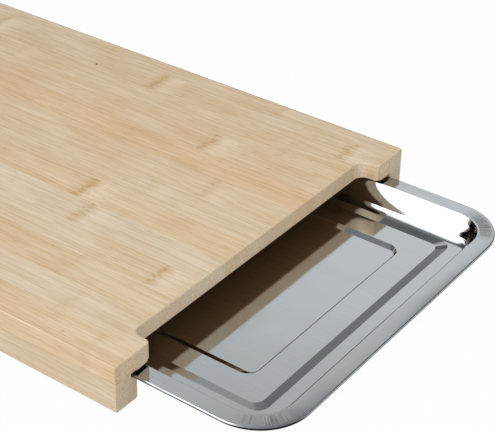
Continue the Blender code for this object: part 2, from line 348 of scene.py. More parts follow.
def make_world():
    """White for the camera, even light for wood, and the studio for mirrored rays.

    A mirrored ray from the wood is light that the steel throws back onto it.
    """
    world = bpy.data.worlds.new("studio")
    world.use_nodes = True
    world.node_tree.nodes.clear()
    kit = NodeKit(world.node_tree)
    direction = kit.node("TexCoord").outputs["Generated"]
    split = kit.node("SeparateXYZ", {0: direction}).outputs
    path = kit.node("LightPath").outputs
    unscattered = kit.math("LESS_THAN", path["Diffuse Depth"], 0.5)
    mirrored = kit.times(path["Is Glossy Ray"], unscattered)
    thrown_back = kit.math("SUBTRACT", path["Is Glossy Ray"], mirrored)
    bounced_levels = (LOW_BOUNCED_LIGHT - PLAIN_LIGHT, HIGH_BOUNCED_LIGHT - PLAIN_LIGHT)
    by_height = kit.between(split["Z"], *BOUNCED_LIGHT_HEIGHTS, *bounced_levels)
    strength = kit.times_plus(thrown_back, by_height, PLAIN_LIGHT)
    even_light = background(kit, PLAIN_LIGHT_COLOUR, strength)
    studio = background(kit, mirrored_studio(kit, split), BRIGHTEST * STEEL_ABSORBS)
    white = background(kit, WHITE, 1.0)
    lit = kit.mix_shaders(mirrored, even_light, studio)
    seen = kit.mix_shaders(path["Is Camera Ray"], lit, white)
    kit.node("OutputWorld", {"Surface": seen})
    return world


bpy.context.scene.world = make_world()
bpy.context.scene.view_settings.view_transform = "Standard"

# %% [markdown]
# One large soft lamp from the upper left gives the wood its shape: the top is
# brightest, the left side nearly as bright, and the front ends lie in shade.
# The floor is a pale sheet. The camera and the steel see it nearly white, and
# it keeps a faint shadow, so the board stands on something.

# %% Add the lamp and the floor
LAMP_DIRECTION = Vector((-0.59, -0.19, 0.78)).normalized()
LAMP_DISTANCE = 2.5
LAMP_SIZE = 2.2
LAMP_POWER = 41
FLOOR_SIZE = 8
FLOOR_DROP = 0.0002
FLOOR_COLOUR = colour(0.8, 0.8, 0.8)
FLOOR_WHITE_SHARE = 0.97


def add_lamp():
    """A square soft lamp that looks at the board's middle."""
    light = bpy.data.lights.new("soft_lamp", "AREA")
    light.size = LAMP_SIZE
    light.energy = LAMP_POWER
    lamp = add_object("soft_lamp", light)
    lamp.location = LAMP_DIRECTION * LAMP_DISTANCE
    lamp.rotation_euler = LAMP_DIRECTION.to_track_quat("Z", "Y").to_euler()
    lamp.visible_glossy = False


def add_floor():
    """A flat sheet under the board, on four corners."""
    half = FLOOR_SIZE / 2
    corners = [(-half, -half), (half, -half), (half, half), (-half, half)]
    mesh = bpy.data.meshes.new("floor")
    mesh.from_pydata([(x, y, -FLOOR_DROP) for x, y in corners], [], [(0, 1, 2, 3)])
    material = bpy.data.materials.new("pale_floor")
    material.use_nodes = True
    material.node_tree.nodes.clear()
    kit = NodeKit(material.node_tree)
    path = kit.node("LightPath").outputs
    watched = kit.math("MAXIMUM", path["Is Camera Ray"], path["Is Glossy Ray"])
    watched = kit.math("MAXIMUM", watched, path["Is Transmission Ray"])
    white_share = kit.times(watched, FLOOR_WHITE_SHARE)
    sheet = kit.node("BsdfDiffuse", {"Color": FLOOR_COLOUR}).outputs[0]
    white = kit.node("Emission", {"Color": WHITE, "Strength": 1.0}).outputs[0]
    mixed = kit.mix_shaders(white_share, sheet, white)
    kit.node("OutputMaterial", {"Surface": mixed})
    mesh.materials.append(material)
    floor = add_object("floor", mesh)
    floor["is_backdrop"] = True


add_lamp()
add_floor()

# %% [markdown]
# ## Meshes from arrays
#
# Every piece below is a stack of closed rings: row after row of points, each
# row with the same number of points. Quads join neighbouring rows, and the
# first and last row are closed by a flat cap. Only the array of points differs
# from piece to piece, so one function turns any stack into a mesh.

# %% Define how a stack of rings becomes a mesh
SMOOTH_ANGLE = math.radians(40)


def ring_faces(rows, columns):
    """Quads between neighbouring rows: column j joins j + 1, and the last joins the first."""
    row = np.arange(rows - 1)[:, None]
    column = np.arange(columns)[None, :]
    following = (column + 1) % columns
    corners = (
        row * columns + column,
        row * columns + following,
        (row + 1) * columns + following,
        (row + 1) * columns + column,
    )
    return np.stack(corners, axis=-1).reshape(-1, 4)


def mesh_from_rings(name, points, values):
    """Builds a closed mesh from points of shape (rows, columns, 3), with named values at the points."""
    rows, columns, _ = points.shape
    first_cap = tuple(range(columns - 1, -1, -1))
    last_cap = tuple(range((rows - 1) * columns, rows * columns))
    faces = [tuple(quad) for quad in ring_faces(rows, columns).tolist()] + [first_cap, last_cap]
    mesh = bpy.data.meshes.new(name)
    mesh.from_pydata(points.reshape(-1, 3), [], faces)
    for label, data in values.items():
        attribute = mesh.attributes.new(label, "FLOAT", "POINT")
        spread = np.broadcast_to(data, (rows, columns)).astype(np.float32)
        attribute.data.foreach_set("value", spread.ravel())
    mesh.shade_smooth()
    mesh.set_sharp_from_angle(angle=SMOOTH_ANGLE)
    return mesh


def add_piece(mesh, material, body, node):
    """Puts a finished mesh in the scene in place of a node of the frame."""
    mesh.materials.append(material)
    piece = add_object(mesh.name, mesh)
    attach(piece, body)
    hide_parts(node)


# %% [markdown]
# ## Sawn wood with sanded edges
#
# A lath or a rail is a flat outline carried straight through its thickness.
# The sander rounds the free edges but not the glued ones. So each side of the
# outline says how far it is rounded, and the rings near the two faces draw in
# along a quarter circle by that much. A Bevel modifier would round glued and
# free edges alike, or need its edges marked by hand.

# %% Define outlines and rounded prisms
SANDING_STEPS = 5
ARC_STEPS = 12
NEARLY_IN_LINE = 0.02


def arc(centre, radius, start_degrees, end_degrees, steps=ARC_STEPS):
    """Points on a circle about a centre, from one angle to another."""
    angle = np.radians(np.linspace(start_degrees, end_degrees, steps + 1))
    return np.stack((centre[0] + radius * np.cos(angle), centre[1] + radius * np.sin(angle)), axis=1)


def inward_shifts(outline, easing):
    """For each corner, the shift that moves its two sides inwards by their own easing.

    Each side has a unit normal n and an easing e. The shift s solves
    n1 . s = e1 and n2 . s = e2, in the least-squares sense where the two
    sides are nearly in line.
    """
    along = np.roll(outline, -1, axis=0) - outline
    along /= np.linalg.norm(along, axis=1, keepdims=True)
    inward = np.stack((-along[:, 1], along[:, 0]), axis=1)
    pair = np.stack((np.roll(inward, 1, axis=0), inward), axis=1)
    wanted = np.stack((np.roll(easing, 1), easing), axis=1)
    return np.einsum("nij,nj->ni", np.linalg.pinv(pair, rcond=NEARLY_IN_LINE), wanted)


def eased_prism(outline, low, high, low_easing, high_easing):
    """Rings of a prism whose edges are rounded by a quarter circle at each end.

    At an angle a from 0 to 90 degrees, a ring lies radius * sin(a) beyond the
    start of the rounding and is drawn in by easing * (1 - cos(a)). Returns
    points (rows, columns, 3) and how worn each row is, which is sin(2 * a) and
    so most halfway round the edge.
    """
    quarter = np.linspace(0, math.pi / 2, SANDING_STEPS + 1)
    ends = ((quarter[::-1], low, low_easing, 1), (quarter, high, high_easing, -1))
    rows = []
    for angles, end, easing, inwards in ends:
        shift = inward_shifts(outline, easing)
        for angle in angles:
            plan = outline + shift * (1 - math.cos(angle))
            height = end + inwards * easing.max() * (1 - math.sin(angle))
            rows.append((plan, height, math.sin(2 * angle)))
    points = np.stack([np.column_stack((plan, np.full(len(plan), height))) for plan, height, _ in rows])
    worn = np.array([wear for _, _, wear in rows])[:, None]
    return points, worn


# %% [markdown]
# ## The laths of the panel
#
# Thirteen laths lie side by side. The two at the ends of the finger recess
# carry its rounded corners. Each lath is its own piece, as on the glued board,
# and the hairline between two laths stays open by a few hundredths of a
# millimetre. Every lath also carries its own numbers: its tone, its warmth and
# where its knuckles lie, which are the dark bands where the bamboo's stem was
# divided. The finish reads them, so one material serves all thirteen.

# %% Build the laths
HAIRLINE = 0.00003
TOP_EASING = 0.0011
LONG_EDGE_EASING = 0.0004
UNDERSIDE_EASING = 0.0014
END_CORNER_RADIUS = 0.0009
END_CORNER_STEPS = 4
HORN_WIDTH = 0.0288
RECESS_CORNER_RADIUS = 0.006
HORN_TIP_RADIUS = 0.003
RAIL_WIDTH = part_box("side_rail_left")[1].x - left_x

# Each piece's seed, and its character: tone and warmth from -1 to 1, the
# knuckle's place in metres from the board's front edge, the stem's length
# between knuckles, and how dark the knuckle is.
OWN_NUMBERS = ("seed", "tone", "warmth", "knuckle_place", "knuckle_gap", "knuckle_dark")
LATH_CHARACTERS = (
    (0.30, 0.10, 0.262, 0.240, 0.15),
    (0.65, -0.30, 0.292, 0.235, 0.15),
    (0.35, 0.05, 0.330, 0.250, 0.15),
    (0.40, -0.15, 0.035, 0.225, 0.60),
    (1.15, -0.70, 0.111, 0.245, 0.55),
    (0.05, 0.25, 0.128, 0.230, 1.0),
    (0.30, -0.05, 0.098, 0.240, 0.20),
    (0.10, 0.10, 0.068, 0.250, 0.35),
    (-0.65, 0.65, 0.230, 0.235, 0.15),
    (-0.35, 0.20, 0.102, 0.228, 0.75),
    (-0.25, 0.10, 0.290, 0.232, 0.15),
    (-0.15, -0.15, 0.181, 0.1545, 0.75),
    (0.00, -0.20, 0.091, 0.240, 0.25),
)


def horn_outline(left, right):
    """Plan of the left lath with the recess corner: round the horn's tip, then into the recess."""
    wall_x = left_x + HORN_WIDTH
    tip = (wall_x - HORN_TIP_RADIUS, front_y + HORN_TIP_RADIUS)
    inner = (wall_x + RECESS_CORNER_RADIUS, recess_y - RECESS_CORNER_RADIUS)
    tip_arc = arc(tip, HORN_TIP_RADIUS, -90, 0)
    inner_arc = arc(inner, RECESS_CORNER_RADIUS, 180, 90)
    rest = [(right, recess_y), (right, rear_y), (left, rear_y)]
    return np.vstack(([(left, front_y)], tip_arc, inner_arc, rest))


def end_lath_outline(left, right):
    """Plan of the leftmost lath, whose two free corners are slightly rounded."""
    radius = END_CORNER_RADIUS
    front_arc = arc((left + radius, front_y + radius), radius, 180, 270, END_CORNER_STEPS)
    rear_arc = arc((left + radius, rear_y - radius), radius, 90, 180, END_CORNER_STEPS)
    return np.vstack((front_arc, [(right, front_y), (right, rear_y)], rear_arc))


def lath_outline(number):
    """Plan of a lath between its two joints, as points that run counterclockwise."""
    left = left_x if number == 1 else joints[number - 2] + HAIRLINE / 2
    right = right_x if number == LATH_COUNT else joints[number - 1] - HAIRLINE / 2
    mirrored = number > LATH_COUNT / 2
    if mirrored:
        left, right = -right, -left
    if number in (1, LATH_COUNT):
        outline = end_lath_outline(left, right)
    elif number in (2, LATH_COUNT - 1):
        outline = horn_outline(left, right)
    else:
        outline = np.array([(left, recess_y), (right, recess_y), (right, rear_y), (left, rear_y)])
    if mirrored:
        outline = outline[::-1] * (-1, 1)
    return outline


def lath_easings(outline):
    """How far each side of a plan is sanded, above and underneath.

    Above, all sides are sanded but those along a joint, and the board's own
    long edges stay crisper. Underneath, only the recess is sanded, where it
    lies over the open bay.
    """
    following = np.roll(outline, -1, axis=0)
    middle_x, middle_y = ((following + outline) / 2).T
    along_y = np.abs(following[:, 0] - outline[:, 0]) < HAIRLINE
    on_edge = np.abs(middle_x) > right_x - HAIRLINE
    on_horn = np.abs(np.abs(middle_x) - (right_x - HORN_WIDTH)) < HAIRLINE
    free = ~along_y | on_edge | on_horn
    in_recess = (middle_y > front_y + HAIRLINE) & (middle_y < 0)
    over_bay = (np.abs(middle_x) < right_x - RAIL_WIDTH) & in_recess
    above = np.where(free, TOP_EASING, 0.0)
    above = np.where(on_edge, LONG_EDGE_EASING, above)
    return above, np.where(free & over_bay, UNDERSIDE_EASING, 0.0)


def own_numbers(worn, seed, character):
    """The numbers that a piece of bamboo carries for its finish, by name."""
    tone, warmth, knuckle, gap, dark = character
    numbers = (seed, tone, warmth, front_y + knuckle, gap, dark)
    return {"worn": worn, **dict(zip(OWN_NUMBERS, numbers))}


def lath_mesh(number):
    """One lath as a rounded prism with its own numbers on it."""
    outline = lath_outline(number)
    above, underneath = lath_easings(outline)
    points, worn = eased_prism(outline, panel_bottom_z, panel_top_z, underneath, above)
    values = own_numbers(worn, number, LATH_CHARACTERS[number - 1])
    return mesh_from_rings(f"bamboo_lath_{number:02d}", points, values)


lath_meshes = [lath_mesh(number) for number in range(1, LATH_COUNT + 1)]
print("laths:", LATH_COUNT, "with", sum(len(mesh.polygons) for mesh in lath_meshes), "faces")

# %% [markdown]
# ## The rails
#
# The side rails are one moulding, cut left and right: round at the foot, and
# with a rebate on the inner side that leaves a groove under the panel. Here
# the outline is the moulding's section, and it is carried along the board.
# The rear rail is a plain batten between them.

# %% Build the rails
rail_low, rail_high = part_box("side_rail_left")
rear_low, rear_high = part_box("rear_rail")
REBATE_WIDTH = 0.0046
REBATE_DEPTH = 0.0035
FOOT_RADIUS = 0.0018
FOOT_STEPS = 6
LIP_RADIUS = 0.0014
LIP_STEPS = 5
RAIL_END_EASING = 0.0006

# As in the laths' table. The rear rail shows no knuckle.
SIDE_RAIL_CHARACTER = (0.0, 0.0, 0.21, 0.23, 0.5)
REAR_RAIL_CHARACTER = (-0.2, 0.2, 1.0, 5.0, 0.0)


def side_rail_section():
    """Section of the left rail in (x, z), counterclockwise from the foot's outer corner."""
    inner_x = rail_high.x
    lip_z = rail_high.z - REBATE_DEPTH
    groove_x = inner_x - REBATE_WIDTH
    top_z = panel_bottom_z - HAIRLINE
    outer_foot = arc((rail_low.x + FOOT_RADIUS, FOOT_RADIUS), FOOT_RADIUS, 180, 270, FOOT_STEPS)
    inner_foot = arc((inner_x - FOOT_RADIUS, FOOT_RADIUS), FOOT_RADIUS, 270, 360, FOOT_STEPS)
    lip = arc((inner_x - LIP_RADIUS, lip_z - LIP_RADIUS), LIP_RADIUS, 0, 90, LIP_STEPS)
    rest = [(groove_x, lip_z), (groove_x, top_z), (rail_low.x, top_z)]
    return np.vstack((outer_foot, inner_foot, lip, rest))


def side_rail_mesh(name, mirrored, seed):
    """A rail with lightly sanded ends, built along z and turned to run along y.

    The turn makes (x, y, z) into (x, z, y). The glued top isn't sanded.
    """
    section = side_rail_section()
    easing = np.full(len(section), RAIL_END_EASING)
    glued_top = len(section) - 2
    easing[glued_top] = 0.0
    points, worn = eased_prism(section, rail_low.y, rail_high.y, easing, easing)
    points = points[:, ::-1, [0, 2, 1]]
    if mirrored:
        points = points[:, ::-1] * (-1, 1, 1)
    return mesh_from_rings(name, points, own_numbers(worn, seed, SIDE_RAIL_CHARACTER))


def rear_rail_mesh(name, seed):
    """The rear rail, a plain batten that fills the space between the side rails."""
    inner_x = rail_high.x + HAIRLINE
    top_z = panel_bottom_z - HAIRLINE
    section = np.array([(rear_low.y, 0.0), (rear_high.y, 0.0), (rear_high.y, top_z), (rear_low.y, top_z)])
    easing = np.zeros(len(section))
    points, worn = eased_prism(section, inner_x, -inner_x, easing, easing)
    points = points[:, :, [2, 0, 1]]
    return mesh_from_rings(name, points, own_numbers(worn, seed, REAR_RAIL_CHARACTER))


rail_meshes = {
    "side_rail_left": side_rail_mesh("bamboo_rail_left", mirrored=False, seed=17),
    "side_rail_right": side_rail_mesh("bamboo_rail_right", mirrored=True, seed=19),
    "rear_rail": rear_rail_mesh("bamboo_rail_rear", seed=23),
}
print("rails:", len(rail_meshes))

# %% [markdown]
# ## The pressed tray
#
# The tray is one sheet of steel. Its section, from the outside in, is a short
# turned-down hem, a flat rim, a steep wall, a ledge, a shallow step, the floor
# and a sunken pocket. Every fold of a pressed sheet is an arc, and bright
# steel shows each arc as a line of its own, so they are all modelled here.
# The section is carried round a rectangle whose corner radius shrinks on the
# way in. The underside is the same section moved by the sheet's thickness.

# %% Draw the tray's section
tray_low, tray_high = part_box("crumb_tray")
TRAY_SHEET = 0.0006
HEM_HEIGHT = 0.0015
RIM_DROOP = 0.0003
RIM_DROOP_WIDTH = 0.0075
RIM_DENT = 0.00035
RIM_DENT_X = 0.022
RIM_DENT_REACH = 0.025
RIM_WIDTH = 0.0106
SHOULDER_SLOPE = math.radians(52)
WALL_SLOPE = math.radians(63.5)
SHOULDER_DROP = 0.0056
CORNER_SHOULDER_SLOPE = math.radians(69)
CORNER_WALL_SLOPE = math.radians(72)
LEDGE_DROP = 0.0120
LEDGE_END = 0.02645
STEP_WIDTH = 0.0060
STEP_DROP = 0.0010
FLOOR_BORDER = 0.0163
POCKET_WALL_WIDTH = 0.0039
POCKET_END_WALL_WIDTH = 0.00122
POCKET_DEPTH = 0.0012
FOLD_RADII = {
    "hem": 0.0007,
    "rim": 0.0004,
    "shoulder": 0.049,
    "foot": 0.0008,
    "step": 0.0016,
    "pocket": 0.0012,
}
FOLD_STEPS = 13
FLAT_MARGIN = 0.00012
TRAY_CORNER_RADIUS = 0.0322
LEDGE_CORNER_RADIUS = 0.008
STEP_CORNER_RADIUS = 0.006
POCKET_CORNER_RADIUS = 0.0085


def folded_line(corners, radii):
    """A line through corner points in which each inner corner is an arc of its own radius.

    The arc starts radius * tan(half the turn) before the corner. Its centre
    lies square to the line there, on the side that the line turns to. One more
    point just before and just after each arc keeps the flats' shading flat.
    """
    corners = np.array(corners, float)
    pieces = [corners[:1]]
    for before, corner, after, radius in zip(corners, corners[1:], corners[2:], radii):
        arriving = (corner - before) / np.linalg.norm(corner - before)
        leaving = (after - corner) / np.linalg.norm(after - corner)
        turn = math.atan2(arriving[0] * leaving[1] - arriving[1] * leaving[0], arriving @ leaving)
        start = corner - arriving * radius * math.tan(abs(turn) / 2)
        normal = np.array((-arriving[1], arriving[0])) * math.copysign(1, turn)
        angle = np.linspace(0, abs(turn), FOLD_STEPS + 1)[:, None]
        bend = start + radius * (np.sin(angle) * arriving + (1 - np.cos(angle)) * normal)
        pieces += [start[None] - FLAT_MARGIN * arriving, bend, bend[-1:] + FLAT_MARGIN * leaving]
    pieces.append(corners[-1:])
    return np.vstack(pieces)


def tray_section(shoulder_slope=SHOULDER_SLOPE, wall_slope=WALL_SLOPE):
    """The upper face's section as (inset from the rim's edge, height under the rim)."""
    shoulder = RIM_WIDTH + SHOULDER_DROP / math.tan(shoulder_slope)
    foot = shoulder + (LEDGE_DROP - SHOULDER_DROP) / math.tan(wall_slope)
    step_end = LEDGE_END + STEP_WIDTH
    pocket_edge = step_end + FLOOR_BORDER
    floor_height = -LEDGE_DROP - STEP_DROP
    pocket_floor = pocket_edge + POCKET_WALL_WIDTH
    corners = (
        (0, -HEM_HEIGHT),
        (0, 0),
        (RIM_WIDTH, 0),
        (shoulder, -SHOULDER_DROP),
        (foot, -LEDGE_DROP),
        (LEDGE_END, -LEDGE_DROP),
        (step_end, floor_height),
        (pocket_edge, floor_height),
        (pocket_floor, floor_height - POCKET_DEPTH),
        (pocket_floor + STEP_WIDTH, floor_height - POCKET_DEPTH),
    )
    folds = ("hem", "rim", "shoulder", "foot", "step", "step", "pocket", "pocket")
    line = folded_line(corners, [FOLD_RADII[fold] for fold in folds])
    corner_radii = (
        (0, TRAY_CORNER_RADIUS),
        (foot, TRAY_CORNER_RADIUS - foot),
        (LEDGE_END, LEDGE_CORNER_RADIUS),
        (step_end, STEP_CORNER_RADIUS),
        (pocket_edge, POCKET_CORNER_RADIUS),
        (pocket_floor, POCKET_CORNER_RADIUS - POCKET_WALL_WIDTH),
    )
    radius = np.interp(line[:, 0], *zip(*corner_radii))
    return line[:, 0], line[:, 1], radius


def sheet_section(*slopes):
    """Both faces of the sheet, from the pocket's floor out over the hem and back underneath."""
    inset, height, radius = tray_section(*slopes)
    along = np.gradient(np.stack((inset, height), axis=1), axis=0)
    along /= np.linalg.norm(along, axis=1, keepdims=True)
    below = np.stack((along[:, 1], -along[:, 0]), axis=1) * TRAY_SHEET
    under = (inset + below[:, 0], height + below[:, 1], radius - below[:, 0])
    upper = (inset[::-1], height[::-1], radius[::-1])
    return tuple(np.concatenate(pair) for pair in zip(upper, under))


# %% Carry the section round the tray
CORNER_STEPS = 48
SIDE_STEPS = 10

# Painted shade on the hem: how dark it is along the sides, and how much
# darker, and how far round, at the front left corner.
HEM_SHADE = 0.7
HEM_CORNER_SHADE = 2.3
HEM_CORNER_SPREAD = 1.5


def rounded_path():
    """Sign of x, sign of y, angle and nearness to a corner, along a rounded rectangle.

    A point of the path is sign * (half size - radius) + radius * (cos, sin).
    Round a corner only the angle changes. Along a side only one sign does,
    with its steps closer together near the corners. The nearness is the
    squared sine of twice the angle round a corner, and 0 along a side.
    """
    quarter = np.linspace(0, math.pi / 2, CORNER_STEPS + 1)
    crowded = (1 - np.cos(np.linspace(0, math.pi, SIDE_STEPS + 1)))[1:-1]
    signs = ((1, 1), (-1, 1), (-1, -1), (1, -1))
    sign_x, sign_y, angles = [], [], []
    for index, (x, y) in enumerate(signs):
        next_x, next_y = signs[(index + 1) % 4]
        sign_x += [np.full(quarter.shape, x), x + (next_x - x) * crowded / 2]
        sign_y += [np.full(quarter.shape, y), y + (next_y - y) * crowded / 2]
        angles += [quarter + index * math.pi / 2, np.full(crowded.shape, (index + 1) * math.pi / 2)]
    sign_x, sign_y, angle = (np.concatenate(part) for part in (sign_x, sign_y, angles))
    at_corner = (np.abs(sign_x) == 1) & (np.abs(sign_y) == 1)
    return sign_x, sign_y, angle, np.where(at_corner, np.sin(2 * angle) ** 2, 0.0)


def tray_mesh():
    """The sheet's section carried round the path, with values for the finish at every point.

    The pocket's end walls are steeper than its side walls, and the wall is
    steeper round the corners. The front rim sinks towards its edge by the
    square of 1 - inset / droop width, and by more at a dent, which fades along
    x as the exponential of minus the square of distance / reach. The hem
    carries painted shade, which grows downwards, and most at the front left
    corner.
    """
    sign_x, sign_y, angle, at_corner = rounded_path()
    straight = np.stack(sheet_section())[:, :, None]
    steep = np.stack(sheet_section(CORNER_SHOULDER_SLOPE, CORNER_WALL_SLOPE))[:, :, None]
    inset, height, radius = straight + (steep - straight) * at_corner
    half_width = (tray_high.x - tray_low.x) / 2
    half_length = (tray_high.y - tray_low.y) / 2
    middle_y = (tray_high.y + tray_low.y) / 2
    pocket_edge = LEDGE_END + STEP_WIDTH + FLOOR_BORDER
    into_pocket = np.clip((inset - pocket_edge) / POCKET_WALL_WIDTH, 0, 1)
    end_inset = inset - into_pocket * (POCKET_WALL_WIDTH - POCKET_END_WALL_WIDTH)
    x = sign_x * (half_width - inset - radius) + radius * np.cos(angle)
    y = middle_y + sign_y * (half_length - end_inset - radius) + radius * np.sin(angle)
    sag = RIM_DROOP + RIM_DENT * np.exp(-(((x - RIM_DENT_X) / RIM_DENT_REACH) ** 2))
    droop = np.clip(1 - inset / RIM_DROOP_WIDTH, 0, 1) ** 2 * sag
    at_front = np.clip(-np.sin(angle), 0, 1) ** 2
    z = tray_high.z + height - droop * at_front
    side_inset, side_height, _ = straight
    # Painted shade on the hem: darker downwards, and most at the front left corner.
    down_hem = np.clip(-side_height / HEM_HEIGHT, 0, 1) * (side_inset < TRAY_SHEET)
    near_corner = np.clip(HEM_CORNER_SPREAD * at_corner, 0, 1) * (sign_x < 0) * (sign_y < 0)
    shade = down_hem * (HEM_SHADE + HEM_CORNER_SHADE * near_corner)
    values = {"inset": side_inset, "corner": at_corner, "fan": angle, "hem": shade}
    return mesh_from_rings("steel_tray", np.stack((x, y, z), axis=2), values)


steel_tray_mesh = tray_mesh()
print("tray:", len(steel_tray_mesh.polygons), "faces")

# %% [markdown]
# ## Bamboo, as a pattern in space
#
# Bamboo is a bundle of straight fibres. If the pattern is made in space, very
# long along the board and very fine across it, then a cut along the fibres
# shows streaks and a cut across them shows dots, with nothing to line up at
# the edges. This group gives the colour and the height of any piece of bamboo.
# A painted image could not do that on every face of a sawn piece. Near the
# front the underside is darkened with painted shade, which shows only as a
# reflection in the tray.

# %% Name the patterns of the wood
# Each pattern: its scale per millimetre across, along and up, the noise's detail
# and roughness, and its shift.
FIBRE_PATTERNS = {
    "fine": ((1.15, 0.026, 1.15), 2.0, 0.7),
    "strand": ((0.50, 0.011, 0.50), 3.0, 0.9, (3.1, 5.7, 8.2)),
    "band": ((0.16, 0.006, 0.16), 2.0, 0.5),
    "bundle": ((2.6, 0.05, 2.6), 1.0, 0.5, (7.3, 1.1, 2.9)),
    "dash": ((1.1, 0.10, 1.1), 1.0, 0.5, (1.7, 9.2, 4.4)),
}
CLOUD = ((0.040, 0.022, 0.040), 3.0, 0.6)
SWAY = ((0.09, 0.012, 0.09), 1.0)
BEND = ((0.40, 0.06, 0.40), 3.0, 0.7)
RAGGED = ((0.55, 0.28, 0.55), 2.0)
SWAY_MM = 2.2
SEED_SHIFT = 0.173
SEED_SHIFT_ALONG = 3.1

# How each pattern darkens the wood: between which of its values, and from and
# to how much.
DARKENING = (
    ("bundle", 0.56, 0.76, 0.0, 0.16),
    ("dash", 0.58, 0.74, 0.0, 0.26),
    ("fine", 0.32, 0.68, 0.0, 0.34),
    ("strand", 0.32, 0.68, 0.0, 0.34),
    ("band", 0.38, 0.66, 0.0, 0.09),
    ("cloud", 0.36, 0.66, -0.05, 0.10),
)
TONE_DARKENS = -0.11
PALE_PATCH_DARKENS = -0.40
STRAND_WARMS = 1.2
CLOUD_WARMS = 1.0
WARMTH_RANGE = (-0.9, 1.1)
COOL_TINT = colour(0.965, 1.0, 1.045)
WARM_TINT = colour(1.035, 0.985, 0.92)

# The pores of the end grain, and the painted shade under the board's front.
FACING_EDGE = (0.55, 0.95)
PORE_SHADES = (0.50, 0.70, 0.94, 0.76)
FACING_DOWN_EDGE = (-0.55, -0.95)
UNDERSIDE_SHADE_EDGE_Y = (-0.06, -0.095)
UNDERSIDE_SHADE_COLOUR = colour(0.35, 0.23, 0.14)
RELIEF_OF_DARKNESS = -0.6
WOOD_ROUGHNESS = (0.3, 0.7, 0.46, 0.58)

# In millimetres along the board: how far fibres shift a knuckle, how wide its
# dark curls and their halo are, and where the pale patch lies. Then how the
# ragged pattern breaks up the curls and the patch.
KNUCKLE_BEND = 15.0
CURL_FADE = (0.5, 3.0, 1.0, 0.0)
HALO_FADE = (2.0, 9.0, 0.34, 0.0)
PALE_PATCH_STOPS = (-26.0, -9.0, -7.0, -2.0)
RAGGED_CURLS = (0.40, 0.60, 0.10, 0.80)
RAGGED_PATCH = (0.30, 0.60, 0.5, 1.0)


# %% Build the bamboo group
def new_group(name, inputs, outputs):
    """A shader group with named sockets. Returns the group, its kit, and its inside ends."""
    tree = bpy.data.node_groups.new(name, "ShaderNodeTree")
    for in_out, sockets in (("INPUT", inputs), ("OUTPUT", outputs)):
        for socket, kind in sockets:
            tree.interface.new_socket(name=socket, in_out=in_out, socket_type=f"NodeSocket{kind}")
    kit = NodeKit(tree)
    return tree, kit, tree.nodes.new("NodeGroupInput").outputs, tree.nodes.new("NodeGroupOutput").inputs


def socket_name(label):
    """The group's socket for one of a piece's own numbers."""
    return label.replace("_", " ").title()


def bamboo_group():
    """Colour, roughness and height of bamboo from a place in metres and a lath's own numbers."""
    inputs = [("Place", "Vector"), ("Normal", "Vector"), ("Pale", "Color"), ("Deep", "Color")]
    inputs += [(socket_name(label), "Float") for label in OWN_NUMBERS]
    outputs = (("Colour", "Color"), ("Height", "Float"), ("Roughness", "Float"))
    tree, kit, given, result = new_group("bamboo", inputs, outputs)
    split = kit.node("SeparateXYZ", {0: given["Place"]}).outputs
    patterns, place = fibre_patterns(kit, given, split)
    knuckle, pale_patch = knuckle_masks(kit, given, split, place)
    deep = 0.0
    for name, *stops in DARKENING:
        deep = kit.math("ADD", deep, kit.between(patterns[name], *stops))
    deep = kit.math("ADD", deep, kit.times(knuckle, given["Knuckle Dark"]))
    paler = kit.times(given["Knuckle Dark"], PALE_PATCH_DARKENS)
    deep = kit.times_plus(pale_patch, paler, deep)
    deep = kit.times_plus(given["Tone"], TONE_DARKENS, deep)
    deep = kit.math("MAXIMUM", deep, 0.0)
    body = kit.mix(deep, given["Pale"], given["Deep"])
    tinted = kit.mix(1.0, body, warmth_tint(kit, given, patterns), "MULTIPLY")
    normal = kit.node("SeparateXYZ", {0: given["Normal"]}).outputs
    end_grain = kit.between(kit.math("ABSOLUTE", normal["Y"]), *FACING_EDGE)
    pores = kit.between(patterns["bundle"], *PORE_SHADES)
    cut = kit.mix(1.0, tinted, kit.combine(pores, pores, pores), "MULTIPLY")
    shaded = kit.mix(end_grain, tinted, cut)
    # Painted shade: the underside near the front is darkened, where it lies in shadow over the tray.
    underside_shade = kit.between(normal["Z"], *FACING_DOWN_EDGE)
    underside_shade = kit.times(underside_shade, kit.between(split["Y"], *UNDERSIDE_SHADE_EDGE_Y))
    shaded = kit.mix(underside_shade, shaded, kit.mix(1.0, shaded, UNDERSIDE_SHADE_COLOUR, "MULTIPLY"))
    kit.feed(result["Colour"], shaded)
    kit.feed(result["Height"], kit.times_plus(deep, RELIEF_OF_DARKNESS, patterns["fine"]))
    kit.feed(result["Roughness"], kit.between(patterns["fine"], *WOOD_ROUGHNESS))
    return tree


def fibre_patterns(kit, given, split):
    """The patterns by name, and the place in millimetres, which each seed shifts elsewhere.

    A slow noise sways the fibres sideways by a millimetre or so.
    """
    shift = kit.times(given["Seed"], SEED_SHIFT)
    shifted = kit.combine(
        kit.math("ADD", split["X"], shift),
        kit.math("ADD", split["Y"], kit.times(shift, SEED_SHIFT_ALONG)),
        split["Z"],
    )
    place = kit.stretch(shifted, (MM_PER_METRE,) * 3)
    across = kit.swing(kit.noise(place, *SWAY))
    sway = kit.combine(kit.times(across, SWAY_MM))
    swayed = kit.node("VectorMath", {0: place, 1: sway}, operation="ADD").outputs[0]
    patterns = {name: kit.noise(swayed, *pattern) for name, pattern in FIBRE_PATTERNS.items()}
    patterns["cloud"] = kit.noise(place, *CLOUD)
    return patterns, place


def warmth_tint(kit, given, patterns):
    """A cool to warm tint, from the piece's own warmth and from single strands and clouds."""
    warm = kit.times_plus(kit.swing(patterns["strand"]), STRAND_WARMS, given["Warmth"])
    warm = kit.times_plus(kit.swing(patterns["cloud"]), CLOUD_WARMS, warm)
    return kit.mix(kit.between(warm, *WARMTH_RANGE), COOL_TINT, WARM_TINT)


